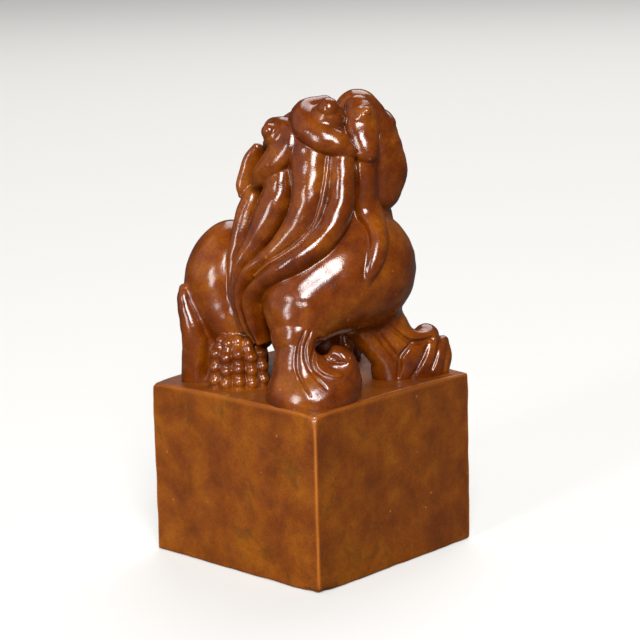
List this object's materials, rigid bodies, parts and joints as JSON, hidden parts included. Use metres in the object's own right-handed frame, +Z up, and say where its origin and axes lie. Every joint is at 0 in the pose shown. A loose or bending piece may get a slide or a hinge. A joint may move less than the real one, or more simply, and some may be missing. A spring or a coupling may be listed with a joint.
{
  "type": "seal stamp",
  "caption": "Square soapstone hand seal with a crouching guardian lion carved as its knob, its head turned back over the shoulder, and a flat seal face below.",
  "frame": {"origin": "middle of the seal face, the flat underside that the stamp stands on", "axes": "+Z up from the seal face through the block and the lion; +X the way the lion's body faces; +Y the side that its head is turned to"},
  "size_m": [0.03, 0.03, 0.0614],
  "materials": {
    "block_stone": "polished amber soapstone with darker mottling and fine pale flecks",
    "carved_stone": "polished red-brown soapstone, waxed, darker in the grooves",
    "hair_stone": "polished red-brown soapstone, waxed, darker in the grooves"
  },
  "bodies": {
    "root": {"base_block": "block_stone", "beard": "hair_stone", "chest": "carved_stone", "crescent_lock": "hair_stone", "crown_knob": "hair_stone", "left_brow": "hair_stone", "left_cheek_ruff": "hair_stone", "left_ear": "carved_stone", "left_eye": "carved_stone", "left_foreleg": "carved_stone", "left_forepaw": "carved_stone", "left_haunch": "carved_stone", "left_hind_paw": "carved_stone", "left_hock": "carved_stone", "left_mane_lock_1": "hair_stone", "left_mane_lock_2": "hair_stone", "left_mane_lock_3": "hair_stone", "lower_jaw": "carved_stone", "muzzle": "carved_stone", "nape_curl_centre": "hair_stone", "nape_curl_left": "hair_stone", "nape_curl_rear": "hair_stone", "nape_curl_right": "hair_stone", "neck": "carved_stone", "nose": "carved_stone", "right_brow": "hair_stone", "right_cheek_ruff": "hair_stone", "right_ear": "carved_stone", "right_eye": "carved_stone", "right_forefoot": "carved_stone", "right_forefoot_scroll": "carved_stone", "right_foreleg": "carved_stone", "right_haunch": "carved_stone", "right_hind_paw": "carved_stone", "right_hock": "carved_stone", "right_mane_lock_1": "hair_stone", "right_mane_lock_2": "hair_stone", "right_mane_lock_3": "hair_stone", "right_mane_lock_4": "hair_stone", "right_mane_lock_5": "hair_stone", "right_shoulder": "carved_stone", "skull": "carved_stone", "spine_ridge": "carved_stone", "tail": "hair_stone", "torso": "carved_stone"}
  },
  "joints": []
}
